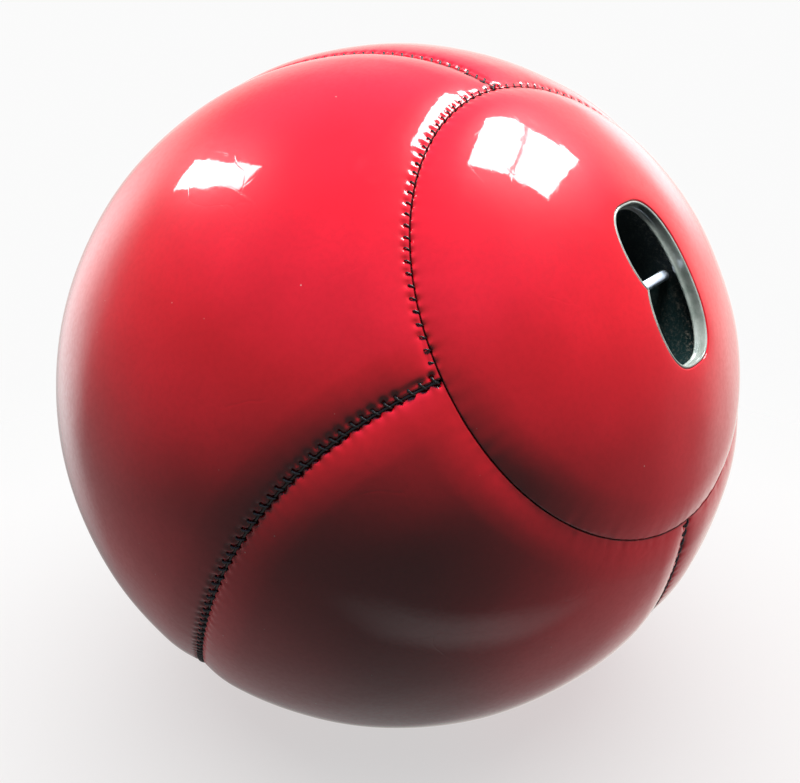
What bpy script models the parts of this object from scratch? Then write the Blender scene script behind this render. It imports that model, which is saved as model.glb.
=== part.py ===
"""Sewn medicine ball with a recessed hold: cover panels, stitching, fillings and the hold's own pieces.

The ball is centred on the origin with +Z up. It rests on a small flat under its lowest point, and its
hold faces +X, tilted upwards. Everything but that flat is laid out in the hold's own frame, whose Z runs
out through the middle of the hold's round panel and whose Y points up along the cover.
"""
import math

import bmesh
import bpy
from mathutils import Vector

MM = 0.001

# Ball and cover
BALL_RADIUS = 150 * MM
COVER_THICKNESS = 3.4 * MM
REST_FLAT_RADIUS = 22 * MM
HOLD_TILT = 30.0  # degrees that the hold's axis rises above +X

# Panels: two round ones on the hold's axis and four S-curved ones between them
DISC_ANGLE = 36.8  # degrees from the axis to a round panel's seam
SIDE_PANELS = 4
SEAM_TWIST = 39.5  # degrees that a side seam turns about the axis from one round panel to the other
SEAM_PHASE = -4.5  # degrees clockwise from the frame's Y to the first side seam
SEAM_DIP = 1.8 * MM  # how far the cover is drawn in at a seam
EDGE_STATIONS = (0.0, 0.018, 0.055)  # shares of a panel's width where its edge is drawn in
SEAM_HALF_GAP = 0.35 * MM
DISC_STEPS = 40
DISC_RINGS = 6
THREAD_RADIUS = 0.45 * MM
FIT_GAP = 0.3 * MM
FACET_GAP = 0.6 * MM  # between curved layers whose flat facets don't match

# Opening of the hold, an oblong with one notch, in the round panel
OPENING_CENTRE = (5.2 * MM, -2.2 * MM)
OPENING_TURN = -6.5  # degrees clockwise from the frame's Y to the opening's long axis
OPENING_HALF_WIDTH = 17.9 * MM
OPENING_HALF_LENGTH = 32.2 * MM
OPENING_SQUARENESS = 2.9
NOTCH_DEPTH = 3.6 * MM
NOTCH_Y = 0.9 * MM
NOTCH_REACH = 6.4 * MM
NOTCH_FADE = 4 * MM
OUTLINE_POINTS = 32
OUTLINE_SAMPLES = 1440

# Moulded collar in the opening and pocket behind it
LIP_THICKNESS = 1.0 * MM
LIP_TOP = 0.7 * MM
LIP_BOTTOM = 6.2 * MM
BEAD_SIZE = 0.7 * MM
COLLAR_FLANGE_WIDTH = 11 * MM
FLANGE_THICKNESS = 1.5 * MM
POCKET_UNDERCUT = 3 * MM
POCKET_FLANGE_WIDTH = 7 * MM
POCKET_WALL = 1.5 * MM
POCKET_DEPTH = 38 * MM

# Cross bar through the pocket
BAR_RADIUS = 2 * MM
BAR_DEPTH = 15 * MM
NUT_RADIUS = 3.6 * MM
NUT_THICKNESS = 1.8 * MM
BAR_TIP = 1.2 * MM

# Fillings, from the outside in
BAG_RADIUS = 144.2 * MM
BAG_THICKNESS = 0.8 * MM
SPLIT_HALF_GAP = 0.25 * MM
BAG_HOLE_GROWTH = 7.6 * MM
RECESS_GROWTH = 9.5 * MM
RECESS_DEPTH = 41 * MM
BALLAST_RADIUS = 69 * MM
BALLAST_BAG_THICKNESS = 1.0 * MM
TURN_STEPS = 24
OUTER_RINGS = 6
INNER_RINGS = 4

MERGE = 0.00001
COVER_INNER_RADIUS = BALL_RADIUS - COVER_THICKNESS
REST_HEIGHT = math.sqrt(BALL_RADIUS**2 - REST_FLAT_RADIUS**2)

RED = (0.72, 0.015, 0.045)
BLACK = (0.012, 0.013, 0.014)


def clear_scene():
    for old in list(bpy.data.objects):
        bpy.data.objects.remove(old, do_unlink=True)


def new_collection(name):
    collection = bpy.data.collections.new(name)
    bpy.context.scene.collection.children.link(collection)
    return collection


def new_material(name, colour, roughness, metallic=0.0):
    material = bpy.data.materials.new(name)
    material.use_nodes = True
    shader = material.node_tree.nodes["Principled BSDF"]
    shader.inputs["Base Color"].default_value = (*colour, 1.0)
    shader.inputs["Roughness"].default_value = roughness
    shader.inputs["Metallic"].default_value = metallic
    return material


clear_scene()
PARTS = new_collection("medicine_ball")
CUTTERS = new_collection("cutters")
HOLD_FRAME = bpy.data.objects.new("hold_frame", None)
PARTS.objects.link(HOLD_FRAME)
HOLD_FRAME.rotation_mode = "ZYX"
HOLD_FRAME.rotation_euler = (0.0, math.radians(90 - HOLD_TILT), math.radians(90))


def add_part(name, data, material):
    """A sub-part in the hold's frame."""
    part = bpy.data.objects.new(name, data)
    data.materials.append(material)
    PARTS.objects.link(part)
    part.parent = HOLD_FRAME
    return part


def add_cutter(name, mesh, in_hold_frame=True):
    cutter = bpy.data.objects.new(name, mesh)
    CUTTERS.objects.link(cutter)
    cutter.hide_render = True
    cutter.display_type = "WIRE"
    if in_hold_frame:
        cutter.parent = HOLD_FRAME
    return cutter


def mesh_from(bm, name, smooth_angle=30):
    bmesh.ops.recalc_face_normals(bm, faces=bm.faces)
    mesh = bpy.data.meshes.new(name)
    bm.to_mesh(mesh)
    bm.free()
    mesh.shade_smooth()
    mesh.set_sharp_from_angle(angle=math.radians(smooth_angle))
    return mesh


def cut(part, cutter):
    modifier = part.modifiers.new(f"less_{cutter.name}", "BOOLEAN")
    modifier.operation = "DIFFERENCE"
    modifier.solver = "EXACT"
    modifier.object = cutter


def on_sphere(radius, angle, azimuth):
    """A point at an angle from the hold's axis and an azimuth clockwise from the frame's Y, in degrees."""
    theta = math.radians(angle)
    phi = math.radians(azimuth)
    return Vector((math.sin(theta) * math.sin(phi), math.sin(theta) * math.cos(phi), math.cos(theta))) * radius


# Cover


def seam_azimuth(index, angle):
    """Where a side seam lies at an angle from the axis: an S that leaves both round panels squarely."""
    share = (angle - DISC_ANGLE) / (180 - 2 * DISC_ANGLE)
    turned = SEAM_TWIST / 2 * (1 - math.cos(math.pi * share))
    return SEAM_PHASE + index * 360 / SIDE_PANELS - turned


def stations(inner_steps):
    """Shares from 0 to 1, closer together at both ends."""
    start = list(EDGE_STATIONS)
    step = (1 - 2 * start[-1]) / inner_steps
    middle = [start[-1] + step * i for i in range(1, inner_steps)]
    return start + middle + [1 - share for share in reversed(start)]


def edge_weight(share):
    """Cover thickness at a share of the way across a panel, as a part of the full thickness."""
    from_edge = min(share, 1 - share)
    drawn_in = max(0.0, 1 - from_edge / EDGE_STATIONS[-1]) ** 2
    return 1 - SEAM_DIP / COVER_THICKNESS * drawn_in


def pad(part, weights):
    """Turns the inner face of a panel into the padded panel, thinner towards its seams."""
    group = part.vertex_groups.new(name="padding")
    for index, weight in enumerate(weights):
        group.add([index], weight, "REPLACE")
    solidify = part.modifiers.new("padding", "SOLIDIFY")
    solidify.thickness = COVER_THICKNESS
    solidify.offset = 1.0
    solidify.vertex_group = group.name
    solidify.use_quality_normals = True


ACROSS = stations(10)
ALONG = stations(12)
SIDE_NAMES = ("side_panel_top_right", "side_panel_bottom_right", "side_panel_bottom_left", "side_panel_top_left")


def side_panel(index, material):
    bm = bmesh.new()
    columns = len(ACROSS) - 1
    rows = len(ALONG) - 1
    bmesh.ops.create_grid(bm, x_segments=columns, y_segments=rows, size=0.5)
    weights = []
    for vert in bm.verts:
        across = ACROSS[round((vert.co.x + 0.5) * columns)]
        along = ALONG[round((vert.co.y + 0.5) * rows)]
        weights.append(min(edge_weight(across), edge_weight(along)))
        ring_gap = math.degrees(SEAM_HALF_GAP / BALL_RADIUS)
        angle = DISC_ANGLE + ring_gap + along * (180 - 2 * (DISC_ANGLE + ring_gap))
        side_gap = math.degrees(SEAM_HALF_GAP / (BALL_RADIUS * math.sin(math.radians(angle))))
        width = 360 / SIDE_PANELS - 2 * side_gap
        vert.co = on_sphere(COVER_INNER_RADIUS, angle, seam_azimuth(index, angle) + side_gap + across * width)
    for face in bm.faces:
        face.normal_update()
    if sum(face.normal.dot(face.calc_center_median()) for face in bm.faces) < 0:
        bmesh.ops.reverse_faces(bm, faces=bm.faces)
    mesh = bpy.data.meshes.new(SIDE_NAMES[index])
    bm.to_mesh(mesh)
    bm.free()
    mesh.shade_smooth()
    panel = add_part(SIDE_NAMES[index], mesh, material)
    pad(panel, weights)
    return panel


def disc_panel(name, material):
    """A round panel as a turned cap about the frame's Z."""
    rim = DISC_ANGLE - math.degrees(SEAM_HALF_GAP / BALL_RADIUS)
    shares = [1 - share for share in reversed(EDGE_STATIONS)]
    shares = [shares[0] * i / DISC_RINGS for i in range(DISC_RINGS)] + shares
    bm = bmesh.new()
    profile = [bm.verts.new(on_sphere(COVER_INNER_RADIUS, rim * share, 0)) for share in shares]
    edges = [bm.edges.new(pair) for pair in zip(profile, profile[1:])]
    bmesh.ops.spin(
        bm, geom=profile + edges, cent=(0, 0, 0), axis=(0, 0, 1), angle=math.tau, steps=DISC_STEPS, use_merge=True
    )
    bmesh.ops.remove_doubles(bm, verts=bm.verts, dist=MERGE)
    for face in bm.faces:
        face.normal_update()
    if sum(face.normal.z for face in bm.faces) < 0:
        bmesh.ops.reverse_faces(bm, faces=bm.faces)
    weights = []
    for vert in bm.verts:
        share = math.degrees(vert.co.angle(Vector((0, 0, 1)))) / rim
        weights.append(edge_weight(1 - share / 2 if share < 1 else 1.0))
    mesh = bpy.data.meshes.new(name)
    bm.to_mesh(mesh)
    bm.free()
    mesh.shade_smooth()
    panel = add_part(name, mesh, material)
    pad(panel, weights)
    return panel


def thread(name, points, material, closed):
    """One run of sewing thread lying in its seam."""
    curve = bpy.data.curves.new(name, "CURVE")
    curve.dimensions = "3D"
    spline = curve.splines.new("POLY")
    spline.points.add(len(points) - 1)
    for point, place in zip(spline.points, points):
        point.co = (*place, 1.0)
    spline.use_cyclic_u = closed
    curve.bevel_depth = THREAD_RADIUS
    curve.bevel_resolution = 1
    curve.use_fill_caps = True
    return add_part(name, curve, material)


THREAD_CENTRE = BALL_RADIUS - SEAM_DIP + THREAD_RADIUS + FIT_GAP


def ring_thread(name, angle, material):
    points = [on_sphere(THREAD_CENTRE, angle, 360 * step / DISC_STEPS) for step in range(DISC_STEPS)]
    return thread(name, points, material, closed=True)


def side_thread(index, material):
    end_gap = math.degrees(1.5 * MM / BALL_RADIUS)
    first = DISC_ANGLE + end_gap
    last = 180 - first
    steps = len(ALONG) - 1
    angles = [first + (last - first) * step / steps for step in range(steps + 1)]
    points = [on_sphere(THREAD_CENTRE, angle, seam_azimuth(index, angle)) for angle in angles]
    return thread(f"side_seam_thread_{index + 1}", points, material, closed=False)


def rest_flat_cutter():
    """A block whose top is the flat that the ball rests on."""
    bm = bmesh.new()
    bmesh.ops.create_cube(bm, size=1.0)
    side = BALL_RADIUS
    height = 20 * MM
    for vert in bm.verts:
        vert.co = Vector((vert.co.x * side, vert.co.y * side, (vert.co.z - 0.5) * height - REST_HEIGHT))
    return add_cutter("rest_flat", mesh_from(bm, "rest_flat"), in_hold_frame=False)


# Opening


def outline_point(turn, growth):
    """A point on the opening's outline, the outline made wider all round by growth."""
    power = 2 / OPENING_SQUARENESS
    x = (OPENING_HALF_WIDTH + growth) * math.copysign(abs(math.cos(turn)) ** power, math.cos(turn))
    y = (OPENING_HALF_LENGTH + growth) * math.copysign(abs(math.sin(turn)) ** power, math.sin(turn))
    if x < 0:
        notch = NOTCH_DEPTH * math.exp(-max(growth, 0.0) / NOTCH_FADE)
        x += notch * math.exp(-abs(y - NOTCH_Y) / NOTCH_REACH)
    return x, y


def outline(growth):
    """Evenly spaced points of the opening's outline, from the tip of the notch, in the opening's frame."""
    dense = [outline_point(math.tau * i / OUTLINE_SAMPLES, growth) for i in range(OUTLINE_SAMPLES)]
    left = [i for i, point in enumerate(dense) if point[0] < 0]
    tip = min(left, key=lambda i: abs(dense[i][1] - NOTCH_Y))
    dense = dense[tip:] + dense[:tip] + [dense[tip]]
    lengths = [0.0]
    for a, b in zip(dense, dense[1:]):
        lengths.append(lengths[-1] + math.dist(a, b))
    points = []
    index = 0
    for i in range(OUTLINE_POINTS):
        target = lengths[-1] * i / OUTLINE_POINTS
        while lengths[index + 1] < target:
            index += 1
        share = (target - lengths[index]) / (lengths[index + 1] - lengths[index])
        a, b = dense[index], dense[index + 1]
        points.append((a[0] + (b[0] - a[0]) * share, a[1] + (b[1] - a[1]) * share))
    return points


def opening_to_hold(x, y):
    """From the opening's frame, with Y on its long axis, to the hold's frame."""
    turn = math.radians(OPENING_TURN)
    return (
        OPENING_CENTRE[0] + x * math.cos(turn) + y * math.sin(turn),
        OPENING_CENTRE[1] - x * math.sin(turn) + y * math.cos(turn),
    )


def ring_at(bm, growth, depth, follow=1.0):
    """Vertices on the outline, at a depth under the ball's surface; follow 0 keeps them in one plane."""
    verts = []
    for x, y in outline(growth):
        x, y = opening_to_hold(x, y)
        fall = BALL_RADIUS - math.sqrt(BALL_RADIUS**2 - x * x - y * y)
        verts.append(bm.verts.new((x, y, BALL_RADIUS - depth - follow * fall)))
    return verts


def bridge(bm, lower, upper):
    count = len(lower)
    for i in range(count):
        j = (i + 1) % count
        bm.faces.new((lower[i], lower[j], upper[j], upper[i]))


def opening_prism(name, growth, top, bottom):
    """A block with the opening's outline, to cut with."""
    bm = bmesh.new()
    low = ring_at(bm, growth, bottom, follow=0.0)
    high = ring_at(bm, growth, top, follow=0.0)
    bridge(bm, low, high)
    bm.faces.new(low)
    bm.faces.new(high)
    return add_cutter(name, mesh_from(bm, name))


def collar(material):
    """The moulded lip inside the opening, with a bead at its foot and a flange behind the cover."""
    outer = -FIT_GAP
    inner = outer - LIP_THICKNESS
    flange_top = COVER_THICKNESS + FACET_GAP
    flange_bottom = flange_top + FLANGE_THICKNESS
    profile = (
        (inner + LIP_THICKNESS / 2, LIP_TOP),
        (inner, LIP_TOP + LIP_THICKNESS / 2),
        (inner, LIP_BOTTOM - 2 * BEAD_SIZE),
        (inner - BEAD_SIZE, LIP_BOTTOM - BEAD_SIZE),
        (inner, LIP_BOTTOM),
        (outer, LIP_BOTTOM),
        (outer, flange_bottom),
        (COLLAR_FLANGE_WIDTH, flange_bottom),
        (COLLAR_FLANGE_WIDTH, flange_top),
        (outer, flange_top),
        (outer, LIP_TOP + LIP_THICKNESS / 2),
    )
    bm = bmesh.new()
    rings = [ring_at(bm, growth, depth) for growth, depth in profile]
    for a, b in zip(rings, rings[1:] + rings[:1]):
        bridge(bm, a, b)
    return add_part("hold_collar", mesh_from(bm, "hold_collar"), material)


def pocket(material):
    """The moulded pocket behind the collar: a flange, a wall set back under the collar, and a floor."""
    flange_top = COVER_THICKNESS + FACET_GAP + FLANGE_THICKNESS + FIT_GAP
    profile = (
        (POCKET_FLANGE_WIDTH, flange_top, 1.0),
        (POCKET_UNDERCUT, flange_top, 1.0),
        (POCKET_UNDERCUT, BAR_DEPTH + 6 * MM, 0.3),
        (POCKET_UNDERCUT - 1 * MM, POCKET_DEPTH - 5 * MM, 0.0),
        (POCKET_UNDERCUT - 5 * MM, POCKET_DEPTH, 0.0),
    )
    bm = bmesh.new()
    rings = [ring_at(bm, growth, depth, follow) for growth, depth, follow in profile]
    for a, b in zip(rings, rings[1:]):
        bridge(bm, a, b)
    bm.faces.new(rings[-1])
    bmesh.ops.recalc_face_normals(bm, faces=bm.faces)
    floor = max(bm.faces, key=lambda face: len(face.verts))
    if floor.normal.z > 0:
        bmesh.ops.reverse_faces(bm, faces=bm.faces)
    mesh = bpy.data.meshes.new("hold_pocket")
    bm.to_mesh(mesh)
    bm.free()
    part = add_part("hold_pocket", mesh, material)
    solidify = part.modifiers.new("wall", "SOLIDIFY")
    solidify.thickness = POCKET_WALL
    solidify.offset = 1.0
    return part


def wall_reach(side):
    """How far the pocket's wall stands out from the opening's middle, near the cross bar, on one side."""
    near = [
        side * x
        for x, y in outline(POCKET_UNDERCUT + POCKET_WALL)
        if side * x > 0 and abs(y - NOTCH_Y) < 2 * NUT_RADIUS
    ]
    return max(near)


def along_bar(name, radius, start, end, material=None):
    """A cylinder on the cross bar's line, from start to end across the opening."""
    bm = bmesh.new()
    bmesh.ops.create_cone(
        bm, cap_ends=True, segments=16, radius1=radius, radius2=radius, depth=end - start
    )
    mesh = mesh_from(bm, name)
    part = add_part(name, mesh, material) if material else add_cutter(name, mesh)
    x, y = opening_to_hold((start + end) / 2, NOTCH_Y)
    part.location = (x, y, BALL_RADIUS - BAR_DEPTH)
    part.rotation_mode = "XYZ"
    part.rotation_euler = (0.0, math.radians(90), math.radians(-OPENING_TURN))
    return part


# Fillings


def arc(radius, first, last, steps):
    """Points in the frame's XZ plane, at angles from its Z."""
    angles = [math.radians(first + (last - first) * i / steps) for i in range(steps + 1)]
    return [Vector((radius * math.sin(a), 0, radius * math.cos(a))) for a in angles]


def turned(name, profile, material):
    """A solid turned about the frame's Z from a profile in its XZ plane."""
    mesh = bpy.data.meshes.new(name)
    mesh.from_pydata(profile, [(i, i + 1) for i in range(len(profile) - 1)], [])
    part = add_part(name, mesh, material)
    screw = part.modifiers.new("turn", "SCREW")
    screw.angle = math.tau
    screw.steps = TURN_STEPS
    screw.render_steps = TURN_STEPS
    screw.use_merge_vertices = True
    screw.merge_threshold = MERGE
    return part


def half_shell(name, outer, inner, outer_rings, inner_rings, material):
    """Half a hollow ball on the frame's +Z side, solid between the two radii."""
    tilt_out = math.degrees(math.asin(SPLIT_HALF_GAP / outer))
    tilt_in = math.degrees(math.asin(SPLIT_HALF_GAP / inner))
    outside = arc(outer, 0, 90 - tilt_out, outer_rings)
    inside = arc(inner, 90 - tilt_in, 0, inner_rings)
    return turned(name, outside + inside, material)


def turn_to_rear(part):
    part.rotation_euler = (math.radians(180), 0.0, 0.0)
    return part


def build():
    leather = new_material("red_patent_leather", RED, 0.12)
    thread_black = new_material("sewing_thread", (0.05, 0.02, 0.02), 0.7)
    glossy = new_material("gloss_moulding", BLACK, 0.15)
    moulding = new_material("pocket_moulding", BLACK, 0.5)
    steel = new_material("bright_steel", (0.75, 0.77, 0.80), 0.15, metallic=1.0)
    spring_steel = new_material("spring_steel", (0.3, 0.3, 0.32), 0.35, metallic=1.0)
    canvas = new_material("inner_canvas", (0.45, 0.40, 0.32), 0.9)
    wadding = new_material("textile_wadding", (0.30, 0.28, 0.26), 0.95)
    ballast_cloth = new_material("ballast_canvas", (0.25, 0.27, 0.22), 0.9)
    sand = new_material("ballast_sand", (0.42, 0.33, 0.20), 0.95)

    opening = opening_prism("cover_opening", 0.0, -10 * MM, 20 * MM)
    bag_hole = opening_prism("bag_hole", BAG_HOLE_GROWTH, -10 * MM, 30 * MM)
    recess = opening_prism("filling_recess", RECESS_GROWTH, -10 * MM, RECESS_DEPTH)
    rest_flat = rest_flat_cutter()

    cut(disc_panel("hold_disc_panel", leather), opening)
    turn_to_rear(disc_panel("rear_disc_panel", leather))
    for index in range(SIDE_PANELS):
        cut(side_panel(index, leather), rest_flat)
    ring_thread("hold_ring_seam_thread", DISC_ANGLE, thread_black)
    ring_thread("rear_ring_seam_thread", 180 - DISC_ANGLE, thread_black)
    for index in range(SIDE_PANELS):
        side_thread(index, thread_black)

    collar(glossy)
    left = -wall_reach(-1)
    right = wall_reach(1)
    bar_holes = along_bar("bar_holes", BAR_RADIUS + FIT_GAP, left - NUT_THICKNESS, right + NUT_THICKNESS)
    cut(pocket(moulding), bar_holes)
    left_face = left - 2 * FIT_GAP
    right_face = right + 2 * FIT_GAP
    reach = NUT_THICKNESS + BAR_TIP
    along_bar("cross_bar", BAR_RADIUS, left_face - reach, right_face + reach, steel)
    bore = along_bar("nut_bores", BAR_RADIUS + FIT_GAP, left_face - 2 * reach, right_face + 2 * reach)
    cut(along_bar("bar_push_nut_left", NUT_RADIUS, left_face - NUT_THICKNESS, left_face, spring_steel), bore)
    cut(along_bar("bar_push_nut_right", NUT_RADIUS, right_face, right_face + NUT_THICKNESS, spring_steel), bore)

    bag_inner = BAG_RADIUS - BAG_THICKNESS
    cut(half_shell("inner_bag_hold_half", BAG_RADIUS, bag_inner, OUTER_RINGS, OUTER_RINGS, canvas), bag_hole)
    turn_to_rear(half_shell("inner_bag_rear_half", BAG_RADIUS, bag_inner, OUTER_RINGS, OUTER_RINGS, canvas))
    wadding_outer = bag_inner - FIT_GAP
    ballast_outer = BALLAST_RADIUS + BALLAST_BAG_THICKNESS + FIT_GAP
    wadding_inner = ballast_outer + FIT_GAP
    cut(half_shell("wadding_hold_half", wadding_outer, wadding_inner, OUTER_RINGS, INNER_RINGS, wadding), recess)
    turn_to_rear(half_shell("wadding_rear_half", wadding_outer, wadding_inner, OUTER_RINGS, INNER_RINGS, wadding))
    ballast_inner = BALLAST_RADIUS + FIT_GAP
    for name, rear in (("ballast_bag_hold_half", False), ("ballast_bag_rear_half", True)):
        half = half_shell(name, ballast_outer, ballast_inner, INNER_RINGS, INNER_RINGS, ballast_cloth)
        if rear:
            turn_to_rear(half)
    turned("ballast_sand", arc(BALLAST_RADIUS, 0, 180, 2 * INNER_RINGS), sand)


build()
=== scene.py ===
"""Looks of the sewn medicine ball: padded cover panels, stitched seams, the recessed hold and the fillings.

Every piece is laid out in the hold's own frame, as the CAD is: Z runs out through the middle of the hold's
round panel and Y points up along the cover. A place on the ball is an angle from that Z and an azimuth
clockwise from that Y, both in radians here, and lengths are in metres.
"""
import math

import bmesh
import bpy
import numpy as np
from mathutils import Matrix, Vector


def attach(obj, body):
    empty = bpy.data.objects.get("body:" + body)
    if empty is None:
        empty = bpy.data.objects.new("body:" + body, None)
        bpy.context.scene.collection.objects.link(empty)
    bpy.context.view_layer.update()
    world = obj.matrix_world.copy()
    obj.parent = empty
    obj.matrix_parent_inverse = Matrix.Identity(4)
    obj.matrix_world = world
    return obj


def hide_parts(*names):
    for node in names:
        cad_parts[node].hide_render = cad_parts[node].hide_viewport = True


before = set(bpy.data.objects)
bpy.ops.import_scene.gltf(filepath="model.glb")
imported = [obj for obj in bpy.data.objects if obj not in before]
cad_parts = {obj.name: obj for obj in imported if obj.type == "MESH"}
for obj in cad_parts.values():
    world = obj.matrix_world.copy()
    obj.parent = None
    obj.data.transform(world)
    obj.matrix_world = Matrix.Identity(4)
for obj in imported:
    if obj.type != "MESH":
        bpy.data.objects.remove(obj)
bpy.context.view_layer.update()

MM = 0.001
TURN = math.tau

# The ball, as in the CAD
BALL_RADIUS = 150 * MM
COVER_THICKNESS = 3.4 * MM
REST_HEIGHT = math.sqrt(BALL_RADIUS**2 - (22 * MM) ** 2)
HOLD_TILT = math.radians(30)
DISC_ANGLE = math.radians(36.8)
SIDE_PANELS = 4
SEAM_TWIST = math.radians(39.5)
SEAM_PHASE = math.radians(-4.5)

# How a panel is drawn in at its seams
PILLOW_DEPTH = 2.0 * MM
PILLOW_REACH = 17 * MM
GATHER_DEPTH = 0.10 * MM
GATHER_REACH = 5 * MM
RIPPLE_DEPTH = 0.22 * MM

# Stitches: a thread crosses the seam on a slant from an upper hole to a lower one
RING_STITCHES = 132
STITCH_PITCH = TURN * BALL_RADIUS * math.sin(DISC_ANGLE) / RING_STITCHES
HOLE_REACH = 0.9 * MM
PUCKER_REACH = 2.4 * MM


class Seam:
    """How one kind of seam is sewn.

    Each hole is a distance across and along the seam; the last value is how many times narrower than its own
    reach the painted shade in the seam lies.
    """

    def __init__(self, upper, lower, strand, roll, half_gap, hole_depth, pucker, clean):
        self.upper = upper
        self.lower = lower
        self.strand = strand
        self.roll = roll
        self.half_gap = half_gap
        self.hole_depth = hole_depth
        self.pucker = pucker
        self.clean = clean


RING_SEAM = Seam(
    upper=(2.0 * MM, 0.8 * MM),
    lower=(-0.2 * MM, -0.4 * MM),
    strand=0.30 * MM,
    roll=0.5 * MM,
    half_gap=0.05 * MM,
    hole_depth=0.65 * MM,
    pucker=0.22 * MM,
    clean=1.6,
)
SIDE_SEAM = Seam(
    upper=(2.1 * MM, 0.9 * MM),
    lower=(-0.7 * MM, -0.5 * MM),
    strand=0.44 * MM,
    roll=1.1 * MM,
    half_gap=0.2 * MM,
    hole_depth=0.8 * MM,
    pucker=0.6 * MM,
    clean=1.2,
)
SEAM_CORD_RADIUS = 0.65 * MM

# Places from a seam where a panel's mesh has a row, close together where the edge rolls in
EDGE_ROWS = (0.0, 0.12, 0.3, 0.55, 0.85, 1.2, 1.6, 2.1, 2.7, 3.4, 4.2, 5.2, 6.6, 8.4, 10.8, 14.0)
ROW_STEP = 1.02 * MM

# The opening and the hold, as in the CAD
OPENING_CENTRE = (5.2 * MM, -2.2 * MM)
OPENING_TURN = math.radians(-6.5)
OPENING_HALF_WIDTH = 17.9 * MM
OPENING_HALF_LENGTH = 32.2 * MM
OPENING_SQUARENESS = 2.9
NOTCH_DEPTH = 3.6 * MM
NOTCH_Y = 0.9 * MM
NOTCH_REACH = 6.4 * MM
NOTCH_FADE = 4 * MM
FIT_GAP = 0.3 * MM
FACET_GAP = 0.6 * MM
LIP_THICKNESS = 1.0 * MM
LIP_TOP = 0.7 * MM
LIP_BOTTOM = 6.2 * MM
BEAD_SIZE = 0.7 * MM
FLANGE_WIDTH = 11 * MM
FLANGE_THICKNESS = 1.5 * MM
POCKET_UNDERCUT = 3 * MM
POCKET_FLANGE_WIDTH = 7 * MM
POCKET_WALL = 1.5 * MM
POCKET_DEPTH = 38 * MM
BAR_RADIUS = 2 * MM
BAR_DEPTH = 15 * MM
NUT_RADIUS = 3.6 * MM

# Fillings, as in the CAD
BAG_RADIUS = 144.2 * MM
BAG_THICKNESS = 0.8 * MM
SPLIT_HALF_GAP = 0.25 * MM
BAG_HOLE_GROWTH = 7.6 * MM
RECESS_GROWTH = 9.5 * MM
RECESS_DEPTH = 41 * MM
BALLAST_RADIUS = 69 * MM
BALLAST_BAG_THICKNESS = 1.0 * MM

HOLD_AXES = np.array(
    [
        (0.0, 1.0, 0.0),
        (-math.sin(HOLD_TILT), 0.0, math.cos(HOLD_TILT)),
        (math.cos(HOLD_TILT), 0.0, math.sin(HOLD_TILT)),
    ]
)


# Meshes


def to_row(points):
    """From the hold's frame to the row frame."""
    return np.asarray(points) @ HOLD_AXES


def on_ball(radius, angle, azimuth):
    """Points in the hold's frame, for numbers or arrays that go together."""
    radius, angle, azimuth = np.broadcast_arrays(radius, angle, azimuth)
    return np.stack(
        (
            radius * np.sin(angle) * np.sin(azimuth),
            radius * np.sin(angle) * np.cos(azimuth),
            radius * np.cos(angle),
        ),
        axis=-1,
    )


class Shell:
    """Vertices and faces of one piece, collected grid by grid."""

    def __init__(self):
        self.points = []
        self.faces = []
        self.marks = []
        self.count = 0

    def add(self, points, marks=None):
        """Adds an array of points of any shape; returns their indices in the same shape."""
        flat = points.reshape(-1, 3)
        indices = np.arange(self.count, self.count + len(flat)).reshape(points.shape[:-1])
        self.points.append(flat)
        self.marks.append(np.broadcast_to(1.0 if marks is None else marks, points.shape[:-1]).ravel())
        self.count += len(flat)
        return indices

    def quads(self, indices, around=False):
        """Faces between neighbouring rows of an index grid; around closes each row on itself."""
        if around:
            indices = np.concatenate((indices, indices[:, :1]), axis=1)
        a, b = indices[:-1, :-1], indices[:-1, 1:]
        c, d = indices[1:, 1:], indices[1:, :-1]
        self.faces.extend(np.stack((a, b, c, d), axis=-1).reshape(-1, 4).tolist())

    def zip(self, first, second):
        """Triangles between two runs of vertices with different counts."""
        i = j = 0
        while i < len(first) - 1 or j < len(second) - 1:
            step_first = (i + 1) * (len(second) - 1) <= (j + 1) * (len(first) - 1)
            if j == len(second) - 1 or (i < len(first) - 1 and step_first):
                self.faces.append([int(first[i]), int(first[i + 1]), int(second[j])])
                i += 1
            else:
                self.faces.append([int(first[i]), int(second[j + 1]), int(second[j])])
                j += 1

    def fan(self, ring, tip):
        """Closes a ring onto one vertex."""
        for a, b in zip(ring, np.roll(ring, -1)):
            self.faces.append([int(a), int(b), int(tip)])

    def piece(self, name, material, mark_name="from_seam"):
        points = to_row(np.concatenate(self.points))
        mesh = bpy.data.meshes.new(name)
        mesh.from_pydata(points.tolist(), [], self.faces)
        mesh.update()
        mesh.shade_smooth()
        layer = mesh.attributes.new(mark_name, "FLOAT", "POINT")
        layer.data.foreach_set("value", np.concatenate(self.marks).astype(np.float32))
        mesh.materials.append(material)
        made = bpy.data.objects.new(name, mesh)
        bpy.context.scene.collection.objects.link(made)
        turn_outwards(mesh)
        return made


def turn_outwards(mesh):
    """Makes every face of a closed mesh look outwards."""
    bm = bmesh.new()
    bm.from_mesh(mesh)
    bmesh.ops.recalc_face_normals(bm, faces=bm.faces)
    bm.to_mesh(mesh)
    bm.free()


def settle(made, slot_name, *nodes):
    """Puts a piece on the ball, in place of CAD nodes."""
    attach(made, "root")
    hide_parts(*nodes)
    return made


# Cover


def seam_azimuth(index, angle):
    share = (angle - DISC_ANGLE) / (math.pi - 2 * DISC_ANGLE)
    return SEAM_PHASE + index * TURN / SIDE_PANELS - SEAM_TWIST / 2 * (1 - np.cos(math.pi * share))


def seam_slant(angle):
    """How far a side seam runs sideways for each step away from the hold's axis."""
    share = (angle - DISC_ANGLE) / (math.pi - 2 * DISC_ANGLE)
    return -np.sin(angle) * SEAM_TWIST / 2 * np.sin(math.pi * share) * math.pi / (math.pi - 2 * DISC_ANGLE)


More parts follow.
